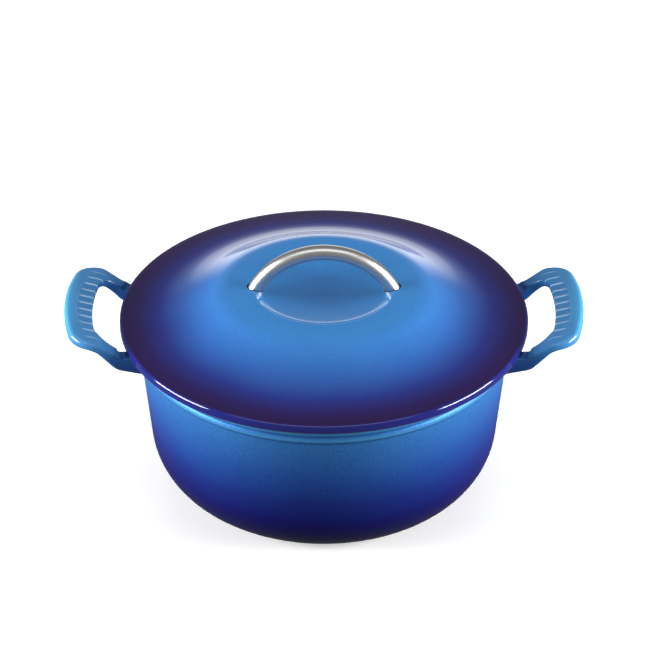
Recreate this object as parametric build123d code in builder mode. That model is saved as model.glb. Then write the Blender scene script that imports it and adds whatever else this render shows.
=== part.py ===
from build123d import *
from math import asin, cos, degrees, radians, sin, sqrt, tan
import os

# Enamelled cast iron dutch oven, 24 cm, with its lid on. Millimetres, +Z up.
# The origin is on the table under the middle of the pot; the two loop handles lie along X.

os.makedirs("parts", exist_ok=True)

# ---------------------------------------------------------------- driving dimensions
# Pot
pot_height = 120.0  # table to the top of the rim
foot_ring_width = 9.0
foot_recess = 0.6  # how far the middle of the base is lifted off the table
corner_radius = 45.0  # outside, between the foot and the wall
wall_draft = 5.8  # degrees, the wall leans outwards
wall = 4.2
base = 5.0
rim_radius = 124.8  # outside of the rim band
band_overhang = 3.2  # the rim band stands this far off the wall
rim_round = 1.5
rim_inner_round = 1.0
roll_height = 9.0  # upper roll of the rim band
bead_height = 5.8  # lower bead of the rim band
bead_bulge = 0.9
roll_groove = 1.4  # depth of the line between the roll and the bead
lining = 0.5  # glass enamel inside

# Loop handles, cast with the pot
grip_overreach = 45.2  # rim band to the outer edge of the grip
grip_bow = 8.9  # how far the grip's outer edge curves back over the loop's width
grip_width = 18.4  # along X, across the grip
loop_half_width = 50.0  # middle of the pot to the outer edge of an arm's far end, along Y
arm_width = 13.2  # at its far end
arm_splay = 5.5  # degrees, the arms' outer edges spread outwards
opening_bow = 4.4
outer_corner = 18.0
opening_corner = 12.5
root_flare = 7.0
root_overlap = 25.0  # the arms are drawn this far inside the rim band, then cut off at the wall
grip_thickness = 9.4  # at its outer edge
grip_under_slope = 4.0  # degrees
loop_lift = 17.2  # the grip's top over the rim, at the grip's outer edge
grip_slope = 14.5  # degrees
arm_top_over_rim = 1.6
arm_rise_run = 8.2  # rim band to where the arm's top starts to climb
arm_rise_slope = 35.0  # degrees
arm_root_slope = 15.0  # degrees, underside from the wall outwards
arm_root_depth = 11.8  # the underside below the rim, near the wall
arm_under_run = 9.7  # rim band to where the underside starts to climb
arm_under_slope = 48.0  # degrees
outer_top_round = 3.0  # along the loop's outer edge
outer_under_round = 2.0
opening_round = 1.8
knee_round = 12.0  # where the loop's slopes meet, seen from the side
lid_clearance = 5.5  # lid's edge to the step in the arms
step_below_rim = 0.7  # floor of that step, below the lid's seat
step_cove = 2.5
flute_count = 10
flute_depth = 1.2
flute_lip = 8.0  # plain lip outside the flutes
flute_bow = 6.2  # how far the outer end of the flutes curves back over their width
flute_side_margin = 10.0

# Lid
lid_overhang = 9.2  # beyond the rim band
lid_thickness = 4.2
lip_height = 5.8
lip_round = 2.0
lip_under_round = 0.8
flange_slope = 4.5  # degrees
skirt_slope = 28.5  # degrees
skirt_run = 13.0  # the runs here are level distances
shoulder_run = 12.5
crest_slope = 2.0  # degrees
crest_run = 14.2
well_margin = 2.9  # the well's edge beyond the line of the arch
well_lip_round = 2.2
well_wall_slope = 26.0  # degrees
well_wall_width = 4.6
well_foot_round = 20.0
dish_slope = 8.0  # degrees, at the edge of the dish
rib_thickness = 3.0
rib_depth = 4.5
rib_clearance = 2.6  # rib to the lined wall of the pot

# Arched lid handle and its fastenings
rod_radius = 5.0
arch_radius = 50.0  # centreline
arch_rise = 25.6  # its top's centreline over the crest
seat_depth = 6.9  # middle of the rod's end face under the crest
socket_clearance = 0.7
boss_radius = 9.0
boss_floor = 4.5  # iron under the rod's end
screw_radius = 2.5
screw_hole_clearance = 0.3
thread_clearance = 0.05
thread_length = 8.0
tapped_spare = 1.0
head_radius = 4.75
head_height = 3.4
drive_width = 1.1
drive_length = 5.2
drive_depth = 1.8
seal_radius = 7.5
seal_thickness = 0.8
flat_washer_radius = 6.5
flat_washer_thickness = 1.0
lock_washer_radius = 4.6
lock_washer_thickness = 1.3
lock_washer_gap = 0.9

# ---------------------------------------------------------------- worked-out sizes
draft = radians(wall_draft)
band_bottom = pot_height - roll_height - bead_height
groove_height = pot_height - roll_height
corner_top = corner_radius * (1 - sin(draft))
corner_end = Vector(rim_radius - band_overhang - (band_bottom - corner_top) * tan(draft), corner_top)
foot_radius = corner_end.X - corner_radius * cos(draft)
lid_radius = rim_radius + lid_overhang
grip_reach = rim_radius + grip_overreach
arm_rise_start = rim_radius + arm_rise_run
arm_under_knee = rim_radius + arm_under_run
cavity_corner = corner_radius - wall


def outer_wall(z):
    """Radius of the pot's drafted outer wall at height z."""
    return corner_end.X + (z - corner_end.Y) * tan(draft)


def inner_wall(z, skin=0.0):
    """Radius of the drafted cavity wall at height z, with a skin of that thickness on it."""
    return outer_wall(z) - (wall + skin) / cos(draft)


cavity_centre = Vector(inner_wall(base + cavity_corner) - cavity_corner / cos(draft), base + cavity_corner)


def cavity_outline(skin, top):
    """Draws the cavity from the axis to the height top, with a skin of that thickness on it."""
    radius = cavity_corner - skin
    floor = Line((0, base + skin), (cavity_centre.X, base + skin))
    corner = CenterArc(cavity_centre, radius, -90, 90 - wall_draft)
    side = Line(corner @ 1, (inner_wall(top, skin), top))
    return floor, side


def outside_outline():
    """Draws the pot's outside from the foot to the top of the rim."""
    CenterArc((foot_radius, corner_radius), corner_radius, -90, 90 - wall_draft)
    Line(corner_end, (outer_wall(band_bottom), band_bottom))
    bead_top = (rim_radius - roll_groove, groove_height)
    SagittaArc((outer_wall(band_bottom), band_bottom), bead_top, -bead_bulge)
    Line(bead_top, (rim_radius, groove_height + roll_groove))
    Line((rim_radius, groove_height + roll_groove), (rim_radius, pot_height - rim_round))
    CenterArc((rim_radius - rim_round, pot_height - rim_round), rim_round, 0, 90)


# ---------------------------------------------------------------- pot
# One iron casting: flat foot, large corner, drafted wall and a rim band of a roll over a bead.
with BuildPart() as pot_body:
    with BuildSketch(Plane.XZ):
        with BuildLine():
            foot_inner = foot_radius - foot_ring_width
            Polyline(
                (0, base), (0, foot_recess), (foot_inner - foot_recess, foot_recess), (foot_inner, 0), (foot_radius, 0)
            )
            outside_outline()
            rim_inner = inner_wall(pot_height - rim_inner_round)
            Line((rim_radius - rim_round, pot_height), (rim_inner + rim_inner_round, pot_height))
            CenterArc((rim_inner + rim_inner_round, pot_height - rim_inner_round), rim_inner_round, 90, 90)
            cavity_outline(0, pot_height - rim_inner_round)
        make_face()
    revolve(axis=Axis.Z)
pot_body.part.label = "pot_body"

# The glass enamel fused to the inside of the casting.
lining_top = pot_height - rim_inner_round
with BuildPart() as pot_lining:
    with BuildSketch(Plane.XZ):
        with BuildLine():
            outer_floor, outer_side = cavity_outline(0, lining_top)
            inner_floor, inner_side = cavity_outline(lining, lining_top)
            Line(outer_floor @ 0, inner_floor @ 0)
            Line(outer_side @ 1, inner_side @ 1)
        make_face()
    revolve(axis=Axis.Z)
pot_lining.part.label = "pot_lining"

# The pot without its hollow, for cutting the handles' roots to its outside.
with BuildPart() as pot_envelope:
    with BuildSketch(Plane.XZ):
        with BuildLine():
            Line((0, 0), (foot_radius, 0))
            outside_outline()
            Polyline((rim_radius - rim_round, pot_height), (0, pot_height), (0, 0))
        make_face()
    revolve(axis=Axis.Z)

# ---------------------------------------------------------------- loop handles
root_inside = rim_radius - root_overlap
handle_spare = 10.0  # solids drawn longer than the handle, to be cut back to it
grip_top = pot_height + loop_lift
opening_reach = grip_reach - grip_width
slope_of = tan(radians(grip_slope))
rise_of = tan(radians(arm_rise_slope))
root_slope_of = tan(radians(arm_root_slope))
under_slope_of = tan(radians(grip_under_slope))
under_rise_of = tan(radians(arm_under_slope))
arm_top = pot_height + arm_top_over_rim
# The two top planes, of the arm's climb and of the grip, cross here.
top_knee = ((grip_top - slope_of * grip_reach) - (arm_top - rise_of * arm_rise_start)) / (rise_of - slope_of)
under_knee_height = pot_height - arm_root_depth + root_slope_of * (arm_under_knee - rim_radius)
root_under = under_knee_height - root_slope_of * (arm_under_knee - root_inside)


def grip_top_at(x):
    """Height of the grip's sloping top, before its edges are rounded."""
    return grip_top - slope_of * (grip_reach - x)


def grip_under_at(x):
    """Height of the grip's underside."""
    return grip_top - grip_thickness - under_slope_of * (grip_reach - x)


def above_middle(edge):
    """Tells an edge of the loop's top from one of its underside."""
    x = edge.center().X
    top = min(max(arm_top, arm_top + rise_of * (x - arm_rise_start)), grip_top_at(x))
    climb = max(root_slope_of * (x - arm_under_knee), under_rise_of * (x - arm_under_knee))
    under = min(under_knee_height + climb, grip_under_at(x))
    return edge.center().Z > (top + under) / 2


def on_outline(edge):
    """True on the loop's outer edge, false round its opening."""
    return abs(edge.center().Y) > loop_half_width - arm_width / 2 or edge.center().X > opening_reach + 1


under_turn = arm_under_knee + (grip_under_at(arm_under_knee) - under_knee_height) / (under_rise_of - under_slope_of)


def outline_edges():
    """Edges of the loop's plan outline outside the pot: the seams between its slopes all run along Y."""
    along = edges().filter_by(Axis.Z, reverse=True).filter_by(Axis.Y, reverse=True)
    return along.filter_by_position(Axis.X, rim_radius + 1, grip_reach + handle_spare)


# Shallow flutes along X, side by side over the grip's top, inside a plain lip.
flute_half = loop_half_width - flute_side_margin
flute_pitch = 2 * flute_half / flute_count
flute_cut_radius = ((flute_pitch / 2) ** 2 + flute_depth**2) / (2 * flute_depth)
with BuildPart() as flute_cutter:
    flute_axis_height = grip_top_at(grip_reach) + (flute_cut_radius - flute_depth) / cos(radians(grip_slope))
    for row in range(flute_count):
        axis_start = Vector(grip_reach, (row + 0.5) * flute_pitch - flute_half, flute_axis_height)
        axis_direction = Vector(-cos(radians(grip_slope)), 0, -sin(radians(grip_slope)))
        with BuildSketch(Plane(origin=axis_start, x_dir=(0, 1, 0), z_dir=axis_direction)):
            Circle(flute_cut_radius)
        extrude(amount=grip_width + arm_width)
    with BuildSketch(Plane.XY.offset(pot_height)):
        with BuildLine():
            lip_edge = grip_reach - flute_lip
            lip_end_x = lip_edge - flute_bow
            ThreePointArc((lip_end_x, -flute_half), (lip_edge, 0), (lip_end_x, flute_half))
            Polyline(
                (lip_end_x, flute_half), (root_inside, flute_half), (root_inside, -flute_half), (lip_end_x, -flute_half)
            )
        make_face()
        fillet(vertices().filter_by_position(Axis.X, lip_end_x - 1, lip_edge), outer_corner - flute_lip)
    extrude(amount=pot_height, mode=Mode.INTERSECT)

with BuildPart() as right_handle:
    # Plan: a loop with rounded corners whose arms flare into the pot's round wall.
    with BuildSketch(Plane.XY.offset(root_under - handle_spare)):
        with BuildLine():
            edge = grip_reach - grip_bow
            ThreePointArc((edge, -loop_half_width), (grip_reach, 0), (edge, loop_half_width))
            root_half_width = loop_half_width - (edge - root_inside) * tan(radians(arm_splay))
            Polyline(
                (edge, loop_half_width), (root_inside, root_half_width),
                (root_inside, -root_half_width), (edge, -loop_half_width),
            )
        make_face()
        corners = vertices().filter_by_position(Axis.X, edge - 1, edge + 1)
        fillet(corners, outer_corner)
        arm_inner = loop_half_width - arm_width
        with BuildLine():
            opening_edge = opening_reach - opening_bow
            ThreePointArc((opening_edge, -arm_inner), (opening_reach, 0), (opening_edge, arm_inner))
            Polyline(
                (opening_edge, arm_inner), (root_inside, arm_inner),
                (root_inside, -arm_inner), (opening_edge, -arm_inner),
            )
        make_face(mode=Mode.SUBTRACT)
        corners = vertices().filter_by_position(Axis.X, opening_edge - 1, opening_edge + 1)
        fillet(corners.filter_by_position(Axis.Y, -arm_inner - 1, arm_inner + 1), opening_corner)
        # The round disc stands for the pot, and stays inside its wall all the way up.
        root_disc = outer_wall(root_under)
        Circle(root_disc)
        at_wall = [v for v in vertices() if abs(Vector(v.X, v.Y).length - root_disc) < 0.01 and v.X > root_inside]
        fillet(at_wall, root_flare)
    extrude(amount=pot_height)
    # Side view: a plate that leaves the wall nearly level, climbs, and levels out into the grip.
    with BuildSketch(Plane.XZ):
        with BuildLine():
            far = grip_reach + handle_spare
            Polyline(
                (root_inside, root_under), (arm_under_knee, under_knee_height),
                (under_turn, grip_under_at(under_turn)), (far, grip_under_at(far)),
                (far, grip_top_at(far)), (top_knee, grip_top_at(top_knee)),
                (arm_rise_start, arm_top), (root_inside, arm_top), (root_inside, root_under),
            )
        make_face()
        knees = [v for v in vertices() if root_inside < v.X < far]
        fillet(knees, knee_round)
    extrude(amount=2 * loop_half_width, both=True, mode=Mode.INTERSECT)
    # One chain at a time, because a round changes the edges beside it.
    fillet(outline_edges().filter_by(on_outline).filter_by(above_middle), outer_top_round)
    fillet(outline_edges().filter_by(on_outline).filter_by(above_middle, reverse=True), outer_under_round)
    fillet(outline_edges().filter_by(on_outline, reverse=True), opening_round)
    # The lid's edge drops past a round step cut into the arms.
    with BuildSketch(Plane.XZ):
        with BuildLine():
            step_floor = pot_height - step_below_rim
            step_radius = lid_radius + lid_clearance
            Line((0, step_floor), (step_radius - step_cove, step_floor))
            CenterArc((step_radius - step_cove, step_floor + step_cove), step_cove, -90, 90)
            Polyline(
                (step_radius, step_floor + step_cove), (step_radius, 2 * pot_height), (0, 2 * pot_height),
                (0, step_floor),
            )
        make_face()
    revolve(axis=Axis.Z, mode=Mode.SUBTRACT)
    add(pot_envelope.part, mode=Mode.SUBTRACT)
    add(flute_cutter.part, mode=Mode.SUBTRACT)
right_handle.part.label = "right_handle"

with BuildPart() as left_handle:
    add(right_handle.part.mirror(Plane.YZ))
left_handle.part.label = "left_handle"

# ---------------------------------------------------------------- lid
# One iron casting: flat lip, flange, swept skirt, crest ring and a dished well.
crease_turn = well_wall_slope + crest_slope
foot_turn = well_wall_slope - dish_slope
well_radius = sqrt(arch_radius**2 - (arch_radius - arch_rise) ** 2) + well_margin
crest_outer = well_radius + crest_run
rib_outer = inner_wall(pot_height, lining) - rib_clearance
rib_inner = rib_outer - rib_thickness
flange_inner = rib_inner + lid_thickness * sin(radians(flange_slope))
cove_run = flange_inner - skirt_run - shoulder_run - crest_outer
cove_radius = cove_run / (sin(radians(skirt_slope)) - sin(radians(flange_slope)))
shoulder_radius = shoulder_run / (sin(radians(skirt_slope)) - sin(radians(crest_slope)))
lip_corner = Vector(lid_radius - lip_round, pot_height + lip_height - lip_round)
lip_end = lip_corner + Vector(sin(radians(flange_slope)), cos(radians(flange_slope))) * lip_round
# The rounds at the well's edge and foot each take up this much of the runs beside them.
lip_tangent = well_lip_round * tan(radians(crease_turn / 2))
foot_tangent = well_foot_round * tan(radians(foot_turn / 2))
crest_length = crest_run / cos(radians(crest_slope)) - lip_tangent
well_wall_length = well_wall_width / cos(radians(well_wall_slope)) - lip_tangent - foot_tangent


def heading(angle):
    """Direction of travel towards the axis, climbing at angle degrees."""
    return (-cos(radians(angle)), sin(radians(angle)))


def dome_outline(depth):
    """Draws the lid's dome from the flange to the axis, on a surface that far under the outside."""
    flange_end = lip_end + Vector(-1, tan(radians(flange_slope))) * (lip_end.X - flange_inner)
    start = flange_end - Vector(sin(radians(flange_slope)), cos(radians(flange_slope))) * depth
    cove = JernArc(start, heading(flange_slope), cove_radius + depth, -(skirt_slope - flange_slope))
    skirt = PolarLine(cove @ 1, skirt_run / cos(radians(skirt_slope)), 180 - skirt_slope)
    shoulder = JernArc(skirt @ 1, heading(skirt_slope), shoulder_radius - depth, skirt_slope - crest_slope)
    # Deep under the crest the round at the well's edge has run out, and the runs meet in a corner.
    edge_round = max(well_lip_round - depth, 0)
    trim = max(depth - well_lip_round, 0) * tan(radians(crease_turn / 2))
    crest = PolarLine(shoulder @ 1, crest_length - trim, 180 - crest_slope)
    corner = crest @ 1
    if edge_round > 0:
        corner = JernArc(corner, heading(crest_slope), edge_round, crease_turn) @ 1
    well_wall = PolarLine(corner, well_wall_length - trim, 180 + well_wall_slope)
    foot = JernArc(well_wall @ 1, heading(-well_wall_slope), well_foot_round + depth, -foot_turn)
    dish_radius = (foot @ 1).X / sin(radians(dish_slope))
    dish = JernArc(foot @ 1, heading(-dish_slope), dish_radius, -dish_slope)
    return start, dish @ 1


# The lid without its hollow, for cutting the bosses to its outside.
with BuildPart() as lid_envelope:
    with BuildSketch(Plane.XZ):
        with BuildLine():
            outside_start, outside_end = dome_outline(0)
            Polyline(outside_end, (0, pot_height), (outside_start.X, pot_height), outside_start)
        make_face()
    revolve(axis=Axis.Z)

flange_rise = (lip_end.X - flange_inner) * tan(radians(flange_slope))
cove_rise = cove_radius * (cos(radians(flange_slope)) - cos(radians(skirt_slope)))
skirt_rise = skirt_run * tan(radians(skirt_slope))
shoulder_rise = shoulder_radius * (cos(radians(crest_slope)) - cos(radians(skirt_slope)))
crest_rise = crest_run * tan(radians(crest_slope))
crest_height = lip_end.Y + flange_rise + cove_rise + skirt_rise + shoulder_rise + crest_rise
arch_centre_height = crest_height + arch_rise - arch_radius
seat_angle = degrees(asin((arch_radius - arch_rise - seat_depth) / arch_radius))


def foot_plane(side):
    """Plane of the rod's end face on that side (1 or -1), with its Z up along the rod."""
    end_angle = radians(seat_angle)
    end = (side * arch_radius * cos(end_angle), 0, arch_centre_height + arch_radius * sin(end_angle))
    return Plane(origin=end, x_dir=(0, 1, 0), z_dir=(-side * sin(end_angle), 0, cos(end_angle)))


# Thick iron round each socket and under the rod's end, no higher than the lid's outside.
with BuildPart() as bosses:
    for side in (1, -1):
        with BuildSketch(foot_plane(side).offset(-boss_floor)):
            Circle(boss_radius)
        extrude(amount=pot_height)
    add(lid_envelope.part, mode=Mode.INTERSECT)

with BuildPart() as lid:
    with BuildSketch(Plane.XZ):
        with BuildLine():
            outside_start, outside_end = dome_outline(0)
            inside_start, inside_end = dome_outline(lid_thickness)
            lip_under = pot_height + lip_under_round
            Line(outside_end, inside_end)
            Polyline(
                inside_start, (inside_start.X, pot_height - rib_depth), (rib_outer, pot_height - rib_depth),
                (rib_outer, pot_height), (lid_radius - lip_under_round, pot_height),
            )
            CenterArc((lid_radius - lip_under_round, lip_under), lip_under_round, -90, 90)
            Line((lid_radius, lip_under), (lid_radius, lip_corner.Y))
            CenterArc(lip_corner, lip_round, 0, 90 - flange_slope)
            Line(lip_end, outside_start)
        make_face()
    revolve(axis=Axis.Z)
    add(bosses.part)
    for side in (1, -1):
        with BuildSketch(foot_plane(side)):
            Circle(rod_radius + socket_clearance)
        extrude(amount=pot_height, mode=Mode.SUBTRACT)
        with BuildSketch(foot_plane(side)):
            Circle(screw_radius + screw_hole_clearance)
        extrude(amount=-2 * boss_floor, mode=Mode.SUBTRACT)
lid.part.label = "lid"

# The glass enamel fused to the underside of the dome, round the bosses.
with BuildPart() as lid_lining:
    with BuildSketch(Plane.XZ):
        with BuildLine():
            skin_start, skin_end = dome_outline(lid_thickness)
            face_start, face_end = dome_outline(lid_thickness + lining)
            Line(skin_end, face_end)
            Polyline(skin_start, (skin_start.X, face_start.Y), face_start)
        make_face()
    revolve(axis=Axis.Z)
    add(bosses.part, mode=Mode.SUBTRACT)
lid_lining.part.label = "lid_lining"

# ---------------------------------------------------------------- arched lid handle
# A round bar bent to an arc, its ends faced square and tapped for the screws.
with BuildPart() as lid_handle:
    with BuildSketch(foot_plane(1)):
        Circle(rod_radius)
    revolve(axis=Axis((0, 0, arch_centre_height), (0, -1, 0)), revolution_arc=180 - 2 * seat_angle)
    for side in (1, -1):
        with BuildSketch(foot_plane(side)):
            Circle(screw_radius + thread_clearance)
        extrude(amount=thread_length + tapped_spare, mode=Mode.SUBTRACT)
lid_handle.part.label = "lid_handle"


def screw_stack(side):
    """Planes of the sealing washer's, flat washer's, lock washer's and screw head's seats."""
    under_boss = foot_plane(side).offset(-boss_floor)
    under_seal = under_boss.offset(-seal_thickness)
    under_flat = under_seal.offset(-flat_washer_thickness)
    under_lock = under_flat.offset(-lock_washer_thickness)
    return under_boss, under_seal, under_flat, under_lock


hole_radius = screw_radius + screw_hole_clearance
with BuildPart() as sealing_washers:
    for side in (1, -1):
        with BuildSketch(screw_stack(side)[0]):
            Circle(seal_radius)
            Circle(hole_radius, mode=Mode.SUBTRACT)
        extrude(amount=-seal_thickness)
sealing_washers.part.label = "sealing_washers"

with BuildPart() as flat_washers:
    for side in (1, -1):
        with BuildSketch(screw_stack(side)[1]):
            Circle(flat_washer_radius)
            Circle(hole_radius, mode=Mode.SUBTRACT)
        extrude(amount=-flat_washer_thickness)
flat_washers.part.label = "flat_washers"

with BuildPart() as lock_washers:
    for side in (1, -1):
        with BuildSketch(screw_stack(side)[2]):
            Circle(lock_washer_radius)
            Circle(hole_radius, mode=Mode.SUBTRACT)
            with Locations((lock_washer_radius, 0)):
                Rectangle(2 * lock_washer_radius, lock_washer_gap, mode=Mode.SUBTRACT)
        extrude(amount=-lock_washer_thickness)
lock_washers.part.label = "lock_washers"

with BuildPart() as handle_screws:
    for side in (1, -1):
        head_plane = screw_stack(side)[3]
        washer_pile = seal_thickness + flat_washer_thickness + lock_washer_thickness
        with BuildSketch(head_plane):
            Circle(screw_radius)
        extrude(amount=washer_pile + boss_floor + thread_length)
        with BuildSketch(head_plane):
            Circle(head_radius)
        extrude(amount=-head_height)
        with BuildSketch(head_plane.offset(-head_height)):
            Rectangle(drive_length, drive_width)
            Rectangle(drive_width, drive_length)
        extrude(amount=drive_depth, mode=Mode.SUBTRACT)
handle_screws.part.label = "handle_screws"

for piece in (
    pot_body, pot_lining, left_handle, right_handle, lid, lid_lining, lid_handle, handle_screws, lock_washers,
    flat_washers, sealing_washers,
):
    export_step(piece.part, f"parts/{piece.part.label}.step")
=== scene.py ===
from math import asin, cos, hypot, pi, radians, sin, tan

import bmesh
import bpy
import numpy as np
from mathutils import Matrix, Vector


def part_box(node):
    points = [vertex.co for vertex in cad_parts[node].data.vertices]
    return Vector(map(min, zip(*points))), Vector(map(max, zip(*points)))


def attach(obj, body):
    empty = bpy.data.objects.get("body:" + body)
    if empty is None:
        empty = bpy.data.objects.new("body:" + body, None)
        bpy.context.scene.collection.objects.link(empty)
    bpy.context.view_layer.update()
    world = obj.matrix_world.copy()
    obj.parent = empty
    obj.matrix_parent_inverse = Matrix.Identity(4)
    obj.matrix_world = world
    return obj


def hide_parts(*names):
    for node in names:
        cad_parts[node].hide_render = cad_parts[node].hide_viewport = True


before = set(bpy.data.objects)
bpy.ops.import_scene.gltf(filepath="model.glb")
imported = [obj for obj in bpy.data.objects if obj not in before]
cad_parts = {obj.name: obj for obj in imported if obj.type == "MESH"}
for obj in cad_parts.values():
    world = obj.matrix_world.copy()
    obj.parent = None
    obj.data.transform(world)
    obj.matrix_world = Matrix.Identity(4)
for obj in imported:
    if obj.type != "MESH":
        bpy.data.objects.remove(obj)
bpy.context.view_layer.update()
mm = 0.001
world_centre = (0, 0, 0)

# ---------------------------------------------------------------- studio
# A pale seamless floor, one broad overhead panel, two side panels and a strip over the front edge.
# The camera looks down about 32 degrees, from a little over two metres off, with a long lens.
scene = bpy.context.scene
scene.view_settings.view_transform = "Standard"

camera_elevation = radians(32.25)
camera_distance = 2.2
subject_height = 124 * mm
camera_aim = Vector((0.7, -3.6, 118.3)) * mm
camera_data = bpy.data.cameras.new("camera")
camera_data.sensor_width = 36
camera_data.lens = 185.5
camera_data.clip_start = 0.1
camera_data.clip_end = 50
camera = bpy.data.objects.new("camera", camera_data)
camera.location = (0, -camera_distance * cos(camera_elevation),
                   subject_height + camera_distance * sin(camera_elevation))
camera.rotation_mode = "QUATERNION"
camera.rotation_quaternion = (camera_aim - camera.location).to_track_quat("-Z", "Y")
scene.collection.objects.link(camera)
scene.camera = camera


def node_maker(tree):
    """A function that adds a node to the tree. An input is a value, or a socket to link from."""

    def node(kind, inputs=(), **settings):
        made = tree.nodes.new(kind)
        for key, value in settings.items():
            setattr(made, key, value)
        for key, value in dict(inputs).items():
            if isinstance(value, bpy.types.NodeSocket):
                tree.links.new(value, made.inputs[key])
            else:
                made.inputs[key].default_value = value
        return made

    return node


# The room is dim and even, but for a pale backdrop that glows low behind the pot. The glow fades
# out to both sides, and the points of its curve run from 30 degrees below level to 30 above.
room_light = 0.2
backdrop_light = 1.5
backdrop_fade_end = 0.4
backdrop_fade_start = 0.16
backdrop_reach = 0.5
backdrop_curve = ((0.05, 0.0), (0.14, 0.9), (0.3, 1.0), (0.6, 1.0), (0.68, 0.55), (0.78, 0.22), (0.92, 0.03))
world = bpy.data.worlds.new("studio")
scene.world = world
world.use_nodes = True
node = node_maker(world.node_tree)
outlook = node("ShaderNodeTexCoord")
direction = node("ShaderNodeSeparateXYZ", {"Vector": outlook.outputs["Generated"]})
aside = node("ShaderNodeMath", {0: direction.outputs["X"]}, operation="ABSOLUTE")
central = node("ShaderNodeMapRange", {"Value": aside.outputs[0], "From Min": backdrop_fade_end,
                                      "From Max": backdrop_fade_start}, interpolation_type="SMOOTHSTEP")
behind = node("ShaderNodeMath", {0: direction.outputs["Y"], 1: 0.0}, operation="GREATER_THAN")
window = node("ShaderNodeMath", {0: central.outputs["Result"], 1: behind.outputs[0]}, operation="MULTIPLY")
rise = node("ShaderNodeMapRange", {"Value": direction.outputs["Z"], "From Min": -backdrop_reach,
                                   "From Max": backdrop_reach})
glow = node("ShaderNodeFloatCurve", {"Value": rise.outputs["Result"]})
curve = glow.mapping.curves[0]
curve.points[0].location = (0.0, 0.0)
curve.points[1].location = (1.0, 0.0)
for point in backdrop_curve:
    curve.points.new(*point)
glow.mapping.update()
backdrop = node("ShaderNodeMath", {0: window.outputs[0], 1: glow.outputs["Value"]}, operation="MULTIPLY")
strength = node("ShaderNodeMath", {0: backdrop.outputs[0], 1: backdrop_light, 2: room_light},
                operation="MULTIPLY_ADD")
background = world.node_tree.nodes["Background"]
background.inputs["Color"].default_value = (1, 1, 1, 1)
world.node_tree.links.new(strength.outputs[0], background.inputs["Strength"])


def paint(name):
    """Starts a node material and returns it with its node tree, its shader and a node maker."""
    material = bpy.data.materials.new(name)
    material.use_nodes = True
    tree = material.node_tree
    return material, tree, tree.nodes["Principled BSDF"], node_maker(tree)


def panel(name, location, aim, size, power):
    """A soft rectangular studio light."""
    light = bpy.data.lights.new(name, "AREA")
    light.shape = "RECTANGLE"
    light.size, light.size_y = size
    light.energy = power
    holder = bpy.data.objects.new(name, light)
    holder.location = location
    holder.rotation_mode = "QUATERNION"
    holder.rotation_quaternion = (Vector(aim) - Vector(location)).to_track_quat("-Z", "Y")
    scene.collection.objects.link(holder)
    return holder


overhead = panel("overhead", (0.0, 0.5, 2.0), (0, 0.1, 0), (1.4, 1.0), 14.5)
overhead.visible_glossy = False
panel("left_side", (-1.38, -0.3, 0.34), (0, 0, 0.08), (0.85, 0.7), 50)
panel("right_side", (1.38, -0.3, 0.34), (0, 0, 0.08), (0.85, 0.7), 50)
# A wide strip over the front edge of the table shows only in glossy reflections, where the polished steel
# catches it.
strip = panel("steel_strip", (0.0, -0.75, 1.9), (0, 0, 0.15), (2.6, 0.8), 13)
strip.visible_diffuse = False

# The floor is white paper. It throws no light back, so that the enamel keeps its depth.
bpy.ops.object.select_all(action="DESELECT")
bpy.ops.mesh.primitive_plane_add(size=24, location=(0, 0, 0))
floor = bpy.context.object
floor.name = "floor"
floor_paint, tree, shader, node = paint("floor_paper")
grain = node("ShaderNodeTexNoise", {"Scale": 60.0, "Detail": 2.0})
tone = node("ShaderNodeMapRange", {"Value": grain.outputs["Fac"], "To Min": 0.93, "To Max": 0.96})
tree.links.new(tone.outputs["Result"], shader.inputs["Base Color"])
shader.inputs["Roughness"].default_value = 0.7
shader.inputs["Specular IOR Level"].default_value = 0.2
shader.inputs["Emission Color"].default_value = (1, 1, 1, 1)
shader.inputs["Emission Strength"].default_value = 0.22
floor.data.materials.append(floor_paint)
floor.visible_glossy = False
floor.visible_diffuse = False

# ---------------------------------------------------------------- pot
# The pot is one iron casting with a flat ring foot, a large corner and a flared wall that ends
# in a rim band of two rolls. It is sprayed with blue glass enamel, light under the rim and dark
# at the foot, over a dark ground coat that stays bare on top of the rim.
pot_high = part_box("pot_body")[1]
rim_radius = pot_high.x
rim_top = pot_high.z
roll_height = 9.0 * mm
bead_height = 5.8 * mm
band_overhang = 3.2 * mm
rim_round = 1.6 * mm
groove_depth = 1.5 * mm
bead_bulge_depth = 3.4 * mm
bead_turn = 0.62
roll_turn = 0.9
corner_radius = 45.0 * mm
wall_draft = radians(5.8)
foot_ring_width = 9 * mm
foot_recess = 0.6 * mm
lining_low, lining_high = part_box("pot_lining")
wall_thickness = 4.2 * mm
base_thickness = lining_low.z
lathe_steps = 192


def arc(centre, radius, start, end, steps):
    """Points of an arc in (radius, height), from one angle to the other."""
    angles = np.linspace(start, end, steps + 1)
    return [(centre[0] + radius * cos(a), centre[1] + radius * sin(a)) for a in angles]


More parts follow.
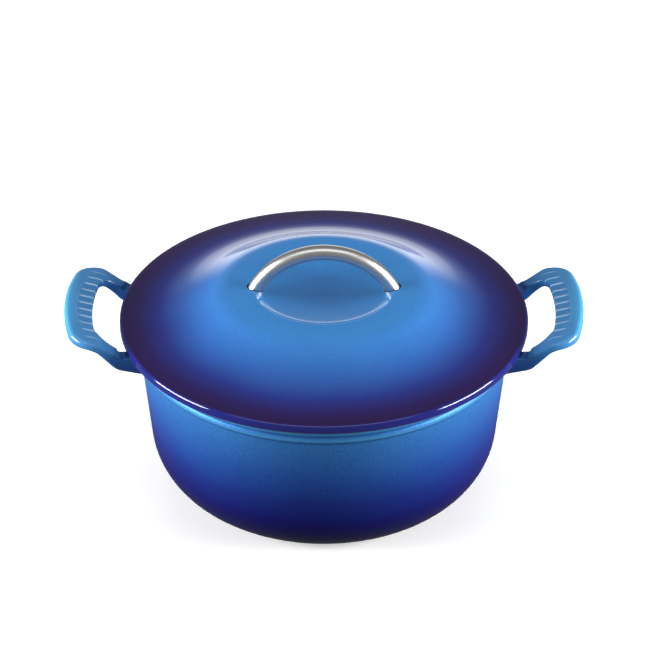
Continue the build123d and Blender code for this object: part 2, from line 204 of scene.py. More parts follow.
def lathe(name, outline, steps=lathe_steps):
    """Turns an outline of (radius, height) points round the Z axis into a closed smooth piece."""
    bpy.ops.object.select_all(action="DESELECT")
    bpy.ops.mesh.primitive_plane_add(size=1 * mm, location=world_centre)
    piece = bpy.context.object
    piece.name = piece.data.name = name
    bpy.ops.object.mode_set(mode="EDIT")
    bpy.ops.mesh.select_all(action="SELECT")
    bpy.ops.mesh.merge(type="CENTER")
    bpy.ops.transform.translate(value=(outline[0][0], 0, outline[0][1]))
    for here, there in zip(outline, outline[1:]):
        step = (there[0] - here[0], 0, there[1] - here[1])
        bpy.ops.mesh.extrude_region_move(TRANSFORM_OT_translate={"value": step})
    bpy.ops.mesh.select_all(action="SELECT")
    bpy.ops.mesh.spin(steps=steps, angle=2 * pi, center=(0, 0, 0), axis=(0, 0, 1))
    bpy.ops.mesh.select_all(action="SELECT")
    bpy.ops.mesh.remove_doubles(threshold=0.01 * mm)
    bpy.ops.mesh.normals_make_consistent(inside=False)
    bpy.ops.object.mode_set(mode="OBJECT")
    bpy.ops.object.shade_smooth_by_angle(angle=radians(50))
    return piece


band_bottom = rim_top - roll_height - bead_height
groove_height = rim_top - roll_height
corner_top = corner_radius * (1 - sin(wall_draft))
wall_start = rim_radius - band_overhang - (band_bottom - corner_top) * tan(wall_draft)
foot_radius = wall_start - corner_radius * cos(wall_draft)


def outer_wall(z):
    """Radius of the flared outside at height z."""
    return wall_start + (z - corner_top) * tan(wall_draft)


def inner_wall(z, skin=0.0):
    """Radius of the flared inside at height z, under a skin of that thickness."""
    return outer_wall(z) - (wall_thickness + skin) / cos(wall_draft)


def cavity(skin, top):
    """Points of the pot's hollow from its top edge down to the axis, under a skin of that thickness."""
    radius = corner_radius - wall_thickness
    height = base_thickness + radius
    centre = (inner_wall(height) - radius / cos(wall_draft), height)
    corner = arc(centre, radius - skin, -wall_draft, -pi / 2, 28)
    side = [(inner_wall(z, skin), z) for z in np.linspace(top, corner[0][1], 8)[:-1]]
    return side + corner + [(corner[-1][0] / 2, base_thickness + skin), (0, base_thickness + skin)]


foot_inner = foot_radius - foot_ring_width
rim_inner = inner_wall(rim_top - rim_round) + rim_round
bead_centre = (rim_radius - groove_depth - bead_bulge_depth, groove_height - bead_height / 2)
bead_radius = hypot(bead_bulge_depth, bead_height / 2)
pot_outline = [(0, foot_recess), (foot_inner - foot_recess, foot_recess), (foot_inner, 0)]
pot_outline += arc((foot_radius, corner_radius), corner_radius, -pi / 2, -wall_draft, 32)
pot_outline += [(outer_wall(z), z) for z in np.linspace(corner_top, band_bottom, 12)[1:]]
pot_outline += arc(bead_centre, bead_radius, -bead_turn, bead_turn, 8)[1:]
pot_outline += arc((rim_radius - rim_round, groove_height + rim_round), rim_round, -roll_turn, 0, 4)
roll_heights = np.linspace(groove_height + rim_round, rim_top - rim_round, 4)[1:-1]
pot_outline += [(rim_radius, z) for z in roll_heights]
pot_outline += arc((rim_radius - rim_round, rim_top - rim_round), rim_round, 0, pi / 2, 6)
pot_outline += arc((rim_inner, rim_top - rim_round), rim_round, pi / 2, pi, 6)
pot_outline += cavity(0, rim_top - rim_round)[1:]
pot_shell = lathe("pot_shell", pot_outline)


def noise(node, place, scale, detail):
    """Noise that is fixed to the piece, with about that many grains to the metre."""
    made = node("ShaderNodeTexNoise", {"Vector": place.outputs["Object"], "Scale": scale, "Detail": detail})
    return made.outputs["Fac"]


def gradient(node, factor, stops):
    """A colour ramp through (position, colour) stops."""
    ramp = node("ShaderNodeValToRGB", {"Fac": factor})
    while len(ramp.color_ramp.elements) < len(stops):
        ramp.color_ramp.elements.new(0.5)
    for element, (position, colour) in zip(ramp.color_ramp.elements, stops):
        element.position = position
        element.color = (*colour, 1)
    return ramp


def drifting(node, place, measure, scale, detail, depth):
    """A measure that wanders by up to half the depth either way, so that a fade along it has a soft, uneven
    edge.
    """
    drift = node("ShaderNodeMath", {0: noise(node, place, scale, detail), 1: depth, 2: -depth / 2},
                 operation="MULTIPLY_ADD")
    return node("ShaderNodeMath", {0: measure, 1: drift.outputs[0]}, operation="ADD").outputs[0]


def mottled(node, place, colour, scale, dark, pale):
    """A colour broken into fine darker and paler grains, as sprayed glass is when it has fused."""
    grains = gradient(node, noise(node, place, scale, 3.0), ((0.3, dark), (0.7, pale)))
    mixed = node("ShaderNodeMixRGB", {"Fac": 0.8, "Color1": colour, "Color2": grains.outputs["Color"]},
                 blend_type="MULTIPLY")
    return mixed.outputs["Color"]


def cast_texture(node, place, strength, depth):
    """Bump of an enamelled sand casting: a fine orange peel over a slower ripple."""
    both = node("ShaderNodeMath", {0: noise(node, place, 90.0, 2.0), 1: 1.5, 2: noise(node, place, 520.0, 3.0)},
                operation="MULTIPLY_ADD")
    return node("ShaderNodeBump", {"Height": both.outputs[0], "Strength": strength, "Distance": depth})


pot_enamel, tree, shader, node = paint("pot_enamel")
place = node("ShaderNodeTexCoord")
axes = node("ShaderNodeSeparateXYZ", {"Vector": place.outputs["Object"]})
height = drifting(node, place, axes.outputs["Z"], 11.0, 4.0, 16 * mm)
share = node("ShaderNodeMapRange", {"Value": height, "From Max": rim_top})
fade = gradient(node, share.outputs["Result"], (
    (0.0, (0.003, 0.001, 0.035)), (0.15, (0.003, 0.0012, 0.055)), (0.3, (0.005, 0.006, 0.11)),
    (0.45, (0.008, 0.023, 0.18)), (0.6, (0.013, 0.06, 0.28)), (0.75, (0.023, 0.11, 0.36)),
    (0.9, (0.032, 0.16, 0.43)), (1.0, (0.035, 0.18, 0.44)),
))
# Painted shade darkens the grooves of the rim band and the step under it; the enamel thins to a paler blue on
# its rolls.
band = node("ShaderNodeMapRange", {"Value": axes.outputs["Z"], "From Min": band_bottom - 2 * mm,
                                   "From Max": rim_top})
groove_shade_and_pale_rolls = gradient(node, band.outputs["Result"], (
    (0.0, (1, 1, 1)), (0.09, (0.45, 0.5, 0.6)), (0.16, (0.5, 0.5, 0.6)), (0.28, (1.7, 1.5, 1.2)),
    (0.4, (0.9, 0.9, 0.95)), (0.47, (0.35, 0.4, 0.5)), (0.54, (0.9, 0.95, 1)), (0.66, (1.5, 1.4, 1.15)),
    (1.0, (2.2, 1.9, 1.3)),
))
banded = node("ShaderNodeMixRGB", {"Fac": 1.0, "Color1": fade.outputs["Color"],
                                   "Color2": groove_shade_and_pale_rolls.outputs["Color"]}, blend_type="MULTIPLY")
grained = mottled(node, place, banded.outputs["Color"], 1000.0, (0.72, 0.76, 0.82), (1.3, 1.24, 1.16))
peel = cast_texture(node, place, 0.3, 0.2 * mm)
tree.links.new(grained, shader.inputs["Base Color"])
tree.links.new(peel.outputs["Normal"], shader.inputs["Normal"])
shader.inputs["Roughness"].default_value = 0.42
shader.inputs["Metallic"].default_value = 0.35
shader.inputs["Specular IOR Level"].default_value = 0.12
pot_shell.data.materials.append(pot_enamel)

ground_coat, tree, shader, node = paint("ground_coat")
place = node("ShaderNodeTexCoord")
grit = noise(node, place, 700.0, 4.0)
tint = gradient(node, grit, ((0.3, (0.012, 0.008, 0.007)), (0.7, (0.06, 0.04, 0.028))))
rough = node("ShaderNodeBump", {"Height": grit, "Strength": 0.5, "Distance": 0.2 * mm})
tree.links.new(tint.outputs["Color"], shader.inputs["Base Color"])
tree.links.new(rough.outputs["Normal"], shader.inputs["Normal"])
shader.inputs["Roughness"].default_value = 0.62
pot_shell.data.materials.append(ground_coat)
for face in pot_shell.data.polygons:
    from_axis = hypot(face.center.x, face.center.y)
    if face.center.z > rim_top - rim_round / 2 and from_axis < rim_radius - rim_round:
        face.material_index = 1
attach(pot_shell, "pot")
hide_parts("pot_body")

# ---------------------------------------------------------------- pot lining
# The inside of the pot carries a thick glossy glass enamel the colour of sand, fired onto the
# iron up to the rim. It is a thin skin of its own, with sparse darker specks in the glass.
glass_thickness = 0.5 * mm
glass_gap = 0.01 * mm
glass_top = lining_high.z
pot_glass = lathe("pot_glass", cavity(glass_thickness, glass_top)[::-1] + cavity(glass_gap, glass_top))
sand_glass, tree, shader, node = paint("sand_glass")
place = node("ShaderNodeTexCoord")
cream = gradient(node, noise(node, place, 14.0, 3.0), ((0.3, (0.66, 0.55, 0.39)), (0.7, (0.74, 0.64, 0.48))))
speck = node("ShaderNodeTexVoronoi", {"Vector": place.outputs["Object"], "Scale": 240.0})
dot = node("ShaderNodeMapRange", {"Value": speck.outputs["Distance"], "From Min": 0.08, "From Max": 0.14})
glaze = node("ShaderNodeMixRGB", {"Fac": dot.outputs["Result"], "Color1": (0.4, 0.3, 0.19, 1),
                                  "Color2": cream.outputs["Color"]})
sag = node("ShaderNodeBump", {"Height": noise(node, place, 120.0, 1.0), "Strength": 0.15, "Distance": 0.2 * mm})
tree.links.new(glaze.outputs["Color"], shader.inputs["Base Color"])
tree.links.new(sag.outputs["Normal"], shader.inputs["Normal"])
shader.inputs["Roughness"].default_value = 0.14
shader.inputs["Coat Weight"].default_value = 0.5
pot_glass.data.materials.append(sand_glass)
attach(pot_glass, "pot")
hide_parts("pot_lining")

# ---------------------------------------------------------------- loop handles
# Each loop is cast in one with the pot: two arms climb out of the wall into a broad fluted grip.
# Its shape is the iron's own, with every edge softened by the thickness of the fired enamel.
softening_step = 0.45 * mm
softening_rounds = 14
held_root = 2.0 * mm


def pick(piece):
    """Selects that piece alone and makes it the active one."""
    bpy.ops.object.select_all(action="DESELECT")
    piece.select_set(True)
    bpy.context.view_layer.objects.active = piece


def softened_casting(name, node_name):
    """A smooth enamel-coated copy of a cast node, left as it is where it meets the pot's wall."""
    piece = bpy.data.objects.new(name, bpy.data.objects[node_name].data.copy())
    piece.data.name = name
    piece.data.materials.clear()
    scene.collection.objects.link(piece)
    pick(piece)
    bpy.ops.object.mode_set(mode="EDIT")
    bpy.ops.mesh.select_all(action="SELECT")
    bpy.ops.mesh.remove_doubles(threshold=0.001 * mm)
    bpy.ops.object.mode_set(mode="OBJECT")
    remesh = piece.modifiers.new("remesh", "REMESH")
    remesh.mode = "VOXEL"
    remesh.voxel_size = softening_step
    bpy.ops.object.modifier_apply(modifier=remesh.name)
    free = piece.vertex_groups.new(name="free")
    for vertex in piece.data.vertices:
        stand = hypot(vertex.co.x, vertex.co.y) - outer_wall(vertex.co.z)
        free.add([vertex.index], min(max(stand / held_root - 0.5, 0), 1), "REPLACE")
    smooth = piece.modifiers.new("smooth", "SMOOTH")
    smooth.factor = 0.5
    smooth.iterations = softening_rounds
    smooth.vertex_group = "free"
    bpy.ops.object.modifier_apply(modifier=smooth.name)
    piece.vertex_groups.clear()
    bpy.ops.object.shade_smooth()
    return piece


right_loop = softened_casting("right_loop", "right_handle")
bpy.ops.object.duplicate()
left_loop = bpy.context.object
left_loop.name = left_loop.data.name = "left_loop"
bpy.ops.object.mode_set(mode="EDIT")
bpy.ops.mesh.select_all(action="SELECT")
bpy.ops.transform.resize(value=(-1, 1, 1), center_override=(0, 0, 0))
bpy.ops.mesh.normals_make_consistent(inside=False)
bpy.ops.object.mode_set(mode="OBJECT")

loop_low, loop_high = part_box("right_handle")
grip_reach = loop_high.x
loop_enamel, tree, shader, node = paint("loop_enamel")
place = node("ShaderNodeTexCoord")
axes = node("ShaderNodeSeparateXYZ", {"Vector": place.outputs["Object"]})
# Painted shade: the loop's blue darkens steeply from its top down to its underside, far darker than the pot's
# own fade there.
height = drifting(node, place, axes.outputs["Z"], 30.0, 3.0, 6 * mm)
share = node("ShaderNodeMapRange", {"Value": height, "From Min": loop_low.z, "From Max": loop_high.z})
azure_with_painted_shade = gradient(node, share.outputs["Result"], (
    (0.0, (0.004, 0.03, 0.16)), (0.4, (0.008, 0.075, 0.27)), (0.7, (0.028, 0.145, 0.36)),
    (1.0, (0.05, 0.2, 0.42)),
))
# Over its last 9 mm the grip turns a paler blue.
reach = node("ShaderNodeMath", {0: axes.outputs["X"]}, operation="ABSOLUTE")
edge_share = node("ShaderNodeMapRange", {"Value": reach.outputs[0], "From Min": grip_reach - 9 * mm,
                                         "From Max": grip_reach})
paler_grip_end = node("ShaderNodeMixRGB", {"Fac": edge_share.outputs["Result"], "Color1": azure_with_painted_shade.outputs["Color"],
                                 "Color2": (0.06, 0.34, 0.62, 1)})
# Thin pale lines along the ridges between the flutes are painted highlights. They run out at the grip's plain
# outer lip, which curves back to both sides, at its inner edge and at its ends.
flute_pitch = 8.0 * mm
flute_half = 40.5 * mm
flute_lip = 8.5 * mm
flute_lip_curve = 3.9
across = node("ShaderNodeMath", {0: axes.outputs["Y"]}, operation="ABSOLUTE")
square = node("ShaderNodeMath", {0: across.outputs[0], 1: across.outputs[0]}, operation="MULTIPLY")
bowed = node("ShaderNodeMath", {0: square.outputs[0], 1: flute_lip_curve, 2: reach.outputs[0]},
             operation="MULTIPLY_ADD")
swing = node("ShaderNodeMath", {0: axes.outputs["Y"], 1: flute_pitch / 2}, operation="PINGPONG")
ridge_highlights = 1.0
for measure, outside, inside in (
    (swing.outputs[0], 0.75 * mm, 0.2 * mm),
    (bowed.outputs[0], grip_reach - flute_lip, grip_reach - flute_lip - 3 * mm),
    (reach.outputs[0], grip_reach - 27 * mm, grip_reach - 20 * mm),
    (across.outputs[0], flute_half, flute_half - 1 * mm),
    (axes.outputs["Z"], loop_high.z - 9 * mm, loop_high.z - 6 * mm),
):
    limit = node("ShaderNodeMapRange", {"Value": measure, "From Min": outside, "From Max": inside})
    ridge_highlights = node("ShaderNodeMath", {0: ridge_highlights, 1: limit.outputs["Result"]}, operation="MULTIPLY").outputs[0]
faint_ridge_highlight = node("ShaderNodeMath", {0: ridge_highlights, 1: 0.75}, operation="MULTIPLY")
ridge_highlighted = node("ShaderNodeMixRGB", {"Fac": faint_ridge_highlight.outputs[0], "Color1": paler_grip_end.outputs["Color"],
                                   "Color2": (0.42, 0.62, 0.85, 1)})
peel = cast_texture(node, place, 0.2, 0.12 * mm)
tree.links.new(ridge_highlighted.outputs["Color"], shader.inputs["Base Color"])
tree.links.new(peel.outputs["Normal"], shader.inputs["Normal"])
shader.inputs["Roughness"].default_value = 0.2
shader.inputs["Specular IOR Level"].default_value = 0.5
for loop, node_name in ((right_loop, "right_handle"), (left_loop, "left_handle")):
    loop.data.materials.append(loop_enamel)
    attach(loop, "pot")
    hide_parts(node_name)

# ---------------------------------------------------------------- lid
# One iron casting: a flat lip, a swept skirt, a crest ring and a dished well, with a centring rib
# below. Glossy blue enamel darkens from the well to the lip; the rib and the seat stay bare.
lid_low, lid_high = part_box("lid")
lid_radius = lid_high.x
lid_thickness = 4.2 * mm
lip_height = 5.8 * mm
lip_round = 2.0 * mm
lip_under_round = 0.8 * mm
flange_slope = radians(4.5)
skirt_slope = radians(28.5)
skirt_run = 13.0 * mm
shoulder_run = 12.5 * mm
crest_slope = radians(2.0)
crest_run = 14.2 * mm
well_radius = 46.54 * mm
well_lip_round = 2.2 * mm
well_wall_slope = radians(26.0)
well_wall_width = 4.6 * mm
well_foot_round = 20.0 * mm
dish_slope = radians(8.0)
rib_thickness = 3.0 * mm
rib_clearance = 2.6 * mm
rib_edge = 0.7 * mm

rib_outer = inner_wall(rim_top, glass_thickness) - rib_clearance
rib_inner = rib_outer - rib_thickness
flange_inner = rib_inner + lid_thickness * sin(flange_slope)
cove_run = flange_inner - skirt_run - shoulder_run - well_radius - crest_run
cove_radius = cove_run / (sin(skirt_slope) - sin(flange_slope))
shoulder_radius = shoulder_run / (sin(skirt_slope) - sin(crest_slope))
lip_corner = (lid_radius - lip_round, rim_top + lip_height - lip_round)
lip_end = (lip_corner[0] + sin(flange_slope) * lip_round, lip_corner[1] + cos(flange_slope) * lip_round)
crease_turn = well_wall_slope + crest_slope
lip_tangent = well_lip_round * tan(crease_turn / 2)
foot_tangent = well_foot_round * tan((well_wall_slope - dish_slope) / 2)


def climb(path, length, slope, steps=3):
    """Adds a straight run towards the axis to the path."""
    x, z = path[-1]
    for part in np.linspace(0, length, steps + 1)[1:]:
        path.append((x - part * cos(slope), z + part * sin(slope)))


def turn(path, radius, slope, new_slope, steps):
    """Adds an arc to the path that takes it from one slope to another."""
    x, z = path[-1]
    bend = radius if new_slope > slope else -radius
    for angle in np.linspace(slope, new_slope, steps + 1)[1:]:
        path.append((x - bend * (sin(angle) - sin(slope)), z - bend * (cos(angle) - cos(slope))))


def dome(depth):
    """Points of the lid's dome from the flange in to the axis, that far under the outside."""
    start = (flange_inner, lip_end[1] + (lip_end[0] - flange_inner) * tan(flange_slope))
    path = [(start[0] - sin(flange_slope) * depth, start[1] - cos(flange_slope) * depth)]
    turn(path, cove_radius + depth, flange_slope, skirt_slope, 14)
    climb(path, skirt_run / cos(skirt_slope), skirt_slope, 5)
    turn(path, shoulder_radius - depth, skirt_slope, crest_slope, 14)
    trim = max(depth - well_lip_round, 0) * tan(crease_turn / 2)
    climb(path, crest_run / cos(crest_slope) - lip_tangent - trim, crest_slope, 5)
    if depth < well_lip_round:
        turn(path, well_lip_round - depth, crest_slope, -well_wall_slope, 8)
    climb(path, well_wall_width / cos(well_wall_slope) - lip_tangent - foot_tangent - trim, -well_wall_slope, 2)
    turn(path, well_foot_round + depth, -well_wall_slope, -dish_slope, 12)
    turn(path, path[-1][0] / sin(dish_slope), -dish_slope, 0, 14)
    path[-1] = (0, path[-1][1])
    return path


outside = dome(0)
crest_top = max(z for _, z in outside)
lid_outline = outside[::-1]
lid_outline += [tuple(p) for p in np.linspace(outside[0], lip_end, 7)[1:]]
lid_outline += arc(lip_corner, lip_round, pi / 2 - flange_slope, 0, 8)[1:]
lip_under = (lid_radius - lip_under_round, rim_top + lip_under_round)
lid_outline += arc(lip_under, lip_under_round, 0, -pi / 2, 4)
lid_outline += [tuple(p) for p in np.linspace((lip_under[0], rim_top), (rib_outer, rim_top), 5)[1:]]
lid_outline += [(rib_outer, lid_low.z + rib_edge), (rib_outer - rib_edge, lid_low.z)]
lid_outline += [(rib_inner + rib_edge, lid_low.z), (rib_inner, lid_low.z + rib_edge)]
lid_outline += dome(lid_thickness)
lid_shell = lathe("lid_shell", lid_outline)

# Under each foot of the handle the iron thickens to a boss, bored from above for the rod's end
# and from below for its screw.
rod_radius = 5.0 * mm
arch_radius = 50.0 * mm
arch_rise = 25.6 * mm
seat_depth = 6.9 * mm
boss_radius = 9.0 * mm
boss_floor = 4.5 * mm
boss_chamfer = 0.6 * mm
boss_trim_height = crest_top - 3.9 * mm
socket_radius = 5.7 * mm
screw_hole_radius = 2.8 * mm
arch_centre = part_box("lid_handle")[1].z - rod_radius - arch_radius
seat_angle = asin((arch_radius - arch_rise - seat_depth) / arch_radius)
foot_x = arch_radius * cos(seat_angle)
foot_z = arch_centre + arch_radius * sin(seat_angle)


def at_foot(piece, side):
    """Puts a piece made on the Z axis at a foot of the arch, its Z up along the rod."""
    piece.location = (side * foot_x, 0, foot_z)
    piece.rotation_euler = (0, -side * seat_angle, 0)
    pick(piece)
    bpy.ops.object.transform_apply(location=True, rotation=True, scale=True)


def at_both_feet(piece):
    """Copies a piece made on the Z axis, and puts it at the right foot and the copy at the left one."""
    pick(piece)
    bpy.ops.object.duplicate()
    twin = bpy.context.object
    at_foot(piece, 1)
    at_foot(twin, -1)
    return piece, twin


def combine(piece, tool, operation):
    """Joins a tool to a piece or cuts it away, and removes the tool."""
    pick(piece)
    step = piece.modifiers.new("combine", "BOOLEAN")
    step.operation = operation
    step.object = tool
    step.solver = "EXACT"
    bpy.ops.object.modifier_apply(modifier=step.name)
    bpy.data.objects.remove(tool)


boss_outline = [(0, -boss_floor), (boss_radius - boss_chamfer, -boss_floor),
                (boss_radius, boss_chamfer - boss_floor), (boss_radius, boss_radius), (0, boss_radius)]
for boss in at_both_feet(lathe("boss", boss_outline, 64)):
    pick(boss)
    bpy.ops.object.mode_set(mode="EDIT")
    bpy.ops.mesh.select_all(action="SELECT")
    bpy.ops.mesh.bisect(plane_co=(0, 0, boss_trim_height), plane_no=(0, 0, 1), use_fill=True, clear_outer=True)
    bpy.ops.object.mode_set(mode="OBJECT")
    combine(lid_shell, boss, "UNION")
drill_outline = [(0, -2 * boss_floor), (screw_hole_radius, -2 * boss_floor), (screw_hole_radius, 0),
                 (socket_radius, 0), (socket_radius, 3 * boss_floor), (0, 3 * boss_floor)]
for drill in at_both_feet(lathe("drill", drill_outline, 64)):
    combine(lid_shell, drill, "DIFFERENCE")
bpy.ops.object.shade_smooth_by_angle(angle=radians(35))

lid_enamel, tree, shader, node = paint("lid_enamel")
place = node("ShaderNodeTexCoord")
flat = node("ShaderNodeVectorMath", {0: place.outputs["Object"], 1: (1, 1, 0)}, operation="MULTIPLY")
spread = node("ShaderNodeVectorMath", {0: flat.outputs["Vector"]}, operation="LENGTH")
reach = drifting(node, place, spread.outputs["Value"], 12.0, 4.0, 12 * mm)
share = node("ShaderNodeMapRange", {"Value": reach, "From Max": lid_radius})
bloom = gradient(node, share.outputs["Result"], (
    (0.0, (0.03, 0.13, 0.36)), (0.36, (0.03, 0.18, 0.45)), (0.45, (0.035, 0.19, 0.48)),
    (0.55, (0.03, 0.145, 0.42)), (0.68, (0.02, 0.08, 0.3)), (0.81, (0.013, 0.022, 0.17)),
    (0.91, (0.014, 0.006, 0.075)), (1.0, (0.014, 0.003, 0.04)),
))
edge = node("ShaderNodeMapRange", {"Value": spread.outputs["Value"], "From Min": lid_radius - 2.2 * mm,
                                   "From Max": lid_radius - 0.6 * mm})
rimmed = node("ShaderNodeMixRGB", {"Fac": edge.outputs["Result"], "Color1": bloom.outputs["Color"],
                                   "Color2": (0.01, 0.012, 0.13, 1)})
grained = mottled(node, place, rimmed.outputs["Color"], 1200.0, (0.82, 0.84, 0.88), (1.18, 1.16, 1.12))
peel = cast_texture(node, place, 0.08, 0.08 * mm)
tree.links.new(grained, shader.inputs["Base Color"])
tree.links.new(peel.outputs["Normal"], shader.inputs["Normal"])
shader.inputs["Roughness"].default_value = 0.07
shader.inputs["Specular IOR Level"].default_value = 0.5
lid_shell.data.materials.clear()
for material in (lid_enamel, ground_coat, sand_glass):
    lid_shell.data.materials.append(material)

# Blue enamel covers the outside, ground coat the seat, the rib and the sockets, and sand glass
# the inside of the dome with its bosses.
skin_depth = 0.6 * mm
socket_coat_height = 2.0 * mm
outside_radii, outside_heights = zip(*outside[::-1])
for face in lid_shell.data.polygons:
    x, y, z = face.center
    from_axis = hypot(x, y)
    up_rod = (z - foot_z) * cos(seat_angle) - (abs(x) - foot_x) * sin(seat_angle)
    from_rod = hypot((abs(x) - foot_x) * cos(seat_angle) + (z - foot_z) * sin(seat_angle), y)
    buried = np.interp(from_axis, outside_radii, outside_heights) - z > skin_depth
    in_socket = from_rod < socket_radius + 0.2 * mm and up_rod > -boss_floor
    if in_socket and abs(face.normal.y) + buried > 0.3:
        face.material_index = 1 if buried or up_rod < socket_coat_height else 0
    elif from_axis > rib_inner - 0.3 * mm:
        face.material_index = 1 if z < rim_top + lip_under_round else 0
    else:
        face.material_index = 2 if buried else 0
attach(lid_shell, "lid")
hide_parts("lid")

# ---------------------------------------------------------------- lid lining
# The underside of the dome has the same sand glass as the pot, as a thin skin inside the rib,
# with the bosses standing through it.
lid_glass = lathe("lid_glass", dome(lid_thickness + glass_thickness)[::-1] + dome(lid_thickness + glass_gap))
sleeve_outline = [(0, -2 * boss_floor), (boss_radius + glass_gap, -2 * boss_floor),
                  (boss_radius + glass_gap, 2 * boss_floor), (0, 2 * boss_floor)]
for sleeve in at_both_feet(lathe("sleeve", sleeve_outline, 64)):
    combine(lid_glass, sleeve, "DIFFERENCE")
bpy.ops.object.shade_smooth_by_angle(angle=radians(35))
lid_glass.data.materials.append(sand_glass)
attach(lid_glass, "lid")
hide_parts("lid_lining")

# ---------------------------------------------------------------- lid handle
# A round stainless bar bent to an arc, its ends faced square and tapped for the screws. It is
# satin finished with a belt, so very fine scratches run round the bar.
tap_radius = 2.55 * mm
tap_depth = 9.0 * mm
rod_steps = 112
bpy.ops.object.select_all(action="DESELECT")
bpy.ops.mesh.primitive_circle_add(vertices=64, radius=rod_radius, location=world_centre)
rod = bpy.context.object
rod.name = rod.data.name = "arched_rod"
at_foot(rod, 1)
bpy.ops.object.mode_set(mode="EDIT")
bpy.ops.mesh.select_all(action="SELECT")
bpy.ops.mesh.spin(steps=rod_steps, angle=pi - 2 * seat_angle, center=(0, 0, arch_centre), axis=(0, 1, 0))
bpy.ops.mesh.select_all(action="SELECT")
bpy.ops.mesh.remove_doubles(threshold=0.001 * mm)
for side in (1, -1):
    along = Vector((-side * sin(seat_angle), 0, cos(seat_angle)))
    foot = Vector((side * foot_x, 0, foot_z))
    bpy.ops.mesh.select_mode(type="VERT")
    bpy.ops.mesh.select_all(action="DESELECT")
    mesh = bmesh.from_edit_mesh(rod.data)
    for vertex in mesh.verts:
        away = vertex.co - foot
        vertex.select = abs(away.dot(along)) < 0.05 * mm and away.length < 2 * rod_radius
    mesh.select_flush(True)
    bmesh.update_edit_mesh(rod.data)
    bpy.ops.mesh.edge_face_add()
    bpy.ops.mesh.inset(thickness=rod_radius - tap_radius)
    bpy.ops.mesh.extrude_region_move(TRANSFORM_OT_translate={"value": along * tap_depth})
bpy.ops.mesh.select_all(action="SELECT")
bpy.ops.mesh.normals_make_consistent(inside=False)
bpy.ops.object.mode_set(mode="OBJECT")
bpy.ops.object.shade_smooth_by_angle(angle=radians(40))

satin, tree, shader, node = paint("satin_stainless")
place = node("ShaderNodeTexCoord")
stretch = node("ShaderNodeMapping", {"Vector": place.outputs["Object"], "Scale": (1.0, 0.12, 1.0)})
belt = node("ShaderNodeTexNoise", {"Vector": stretch.outputs["Vector"], "Scale": 2600.0, "Detail": 2.0})
sheen = node("ShaderNodeMapRange", {"Value": belt.outputs["Fac"], "To Min": 0.3, "To Max": 0.38})
scratch = node("ShaderNodeBump", {"Height": belt.outputs["Fac"], "Strength": 0.08, "Distance": 0.02 * mm})
steel_tone = gradient(node, belt.outputs["Fac"], ((0.3, (0.56, 0.55, 0.54)), (0.7, (0.66, 0.65, 0.64))))
tree.links.new(steel_tone.outputs["Color"], shader.inputs["Base Color"])
tree.links.new(sheen.outputs["Result"], shader.inputs["Roughness"])
tree.links.new(scratch.outputs["Normal"], shader.inputs["Normal"])
shader.inputs["Metallic"].default_value = 1.0
rod.data.materials.append(satin)
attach(rod, "lid")
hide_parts("lid_handle")

# ---------------------------------------------------------------- handle screws
# A pan-head stainless screw comes up through each boss into the rod. The head has a rolled edge
# and a cross recess; the shank is turned, with its thread cut from halfway up.
screw_radius = 2.5 * mm
shank_top = 8.0 * mm
head_seat = -7.6 * mm
head_radius = 4.75 * mm
head_height = 3.4 * mm
thread_pitch = 0.8 * mm
thread_depth = 0.35 * mm
recess_width = 1.1 * mm
recess_length = 5.2 * mm
recess_depth = 1.8 * mm
recess_overlap = 1.01
crown_radius = 9.0 * mm
crown_turn = 0.36
head_round = 1.3 * mm
head_round_height = 1.5 * mm
head_end = head_seat - head_height
screw_outline = [(0, head_end)]
screw_outline += arc((0, head_end + crown_radius), crown_radius, -pi / 2, crown_turn - pi / 2, 6)[1:]
screw_outline += arc((head_radius - head_round, head_seat - head_round_height), head_round, -1.1, 0, 5)
screw_outline += [(head_radius, head_seat), (screw_radius, head_seat), (screw_radius, 0)]
for thread in range(int(shank_top / thread_pitch) - 1):
    thread_foot = thread * thread_pitch
    screw_outline += [(screw_radius - thread_depth, thread_foot + thread_pitch / 2),
                      (screw_radius, thread_foot + thread_pitch)]
screw_outline += [(screw_radius - 0.5 * mm, shank_top), (0, shank_top)]
screw = lathe("handle_screw_right", screw_outline, 48)
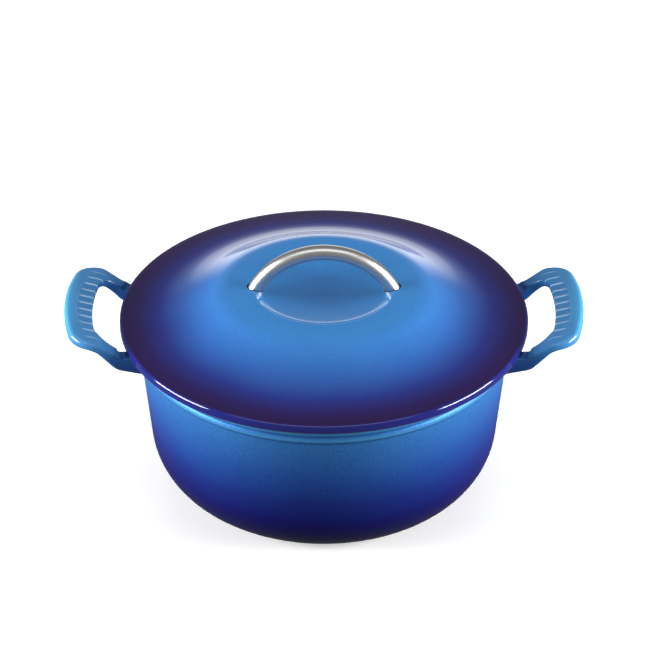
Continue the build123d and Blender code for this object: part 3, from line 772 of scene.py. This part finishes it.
for size in ((recess_length, recess_width), (recess_width, recess_length)):
    bpy.ops.object.select_all(action="DESELECT")
    bpy.ops.mesh.primitive_cube_add(size=1, location=(0, 0, head_end + recess_depth / 2),
                                    scale=(*size, recess_depth * recess_overlap))
    blade = bpy.context.object
    bpy.ops.object.transform_apply(location=True, rotation=True, scale=True)
    combine(screw, blade, "DIFFERENCE")
bpy.ops.object.shade_smooth_by_angle(angle=radians(35))
right_screw, left_screw = at_both_feet(screw)
left_screw.name = left_screw.data.name = "handle_screw_left"


def mottled_steel(name, scale, dark, pale, roughness):
    """Bare steel with fine wear: its tone and its roughness both lie between two values."""
    material, tree, shader, node = paint(name)
    wear = noise(node, node("ShaderNodeTexCoord"), scale, 3.0)
    tone = gradient(node, wear, ((0.3, dark), (0.7, pale)))
    sheen = node("ShaderNodeMapRange", {"Value": wear, "To Min": roughness[0], "To Max": roughness[1]})
    tree.links.new(tone.outputs["Color"], shader.inputs["Base Color"])
    tree.links.new(sheen.outputs["Result"], shader.inputs["Roughness"])
    shader.inputs["Metallic"].default_value = 1.0
    return material


bright = mottled_steel("bright_steel", 900.0, (0.45, 0.45, 0.45), (0.66, 0.65, 0.64), (0.16, 0.36))
for screw in (right_screw, left_screw):
    screw.data.materials.append(bright)
    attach(screw, "lid")
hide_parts("handle_screws")

# ---------------------------------------------------------------- washers
# Each screw pulls up on a split lock washer, a flat steel washer and a silicone sealing washer
# against the boss. They are stock parts, so their plain turned shapes stay as they are.
silicone, tree, shader, node = paint("grey_silicone")
place = node("ShaderNodeTexCoord")
dust = noise(node, place, 600.0, 3.0)
rubber_tone = gradient(node, dust, ((0.3, (0.09, 0.09, 0.09)), (0.7, (0.14, 0.138, 0.135))))
matte = node("ShaderNodeBump", {"Height": dust, "Strength": 0.2, "Distance": 0.05 * mm})
tree.links.new(rubber_tone.outputs["Color"], shader.inputs["Base Color"])
tree.links.new(matte.outputs["Normal"], shader.inputs["Normal"])
shader.inputs["Roughness"].default_value = 0.6

spring = mottled_steel("spring_steel", 1200.0, (0.2, 0.195, 0.19), (0.36, 0.35, 0.34), (0.25, 0.45))
for node_name, material in (("sealing_washers", silicone), ("flat_washers", bright), ("lock_washers", spring)):
    for slot in bpy.data.objects[node_name].material_slots:
        slot.material = material
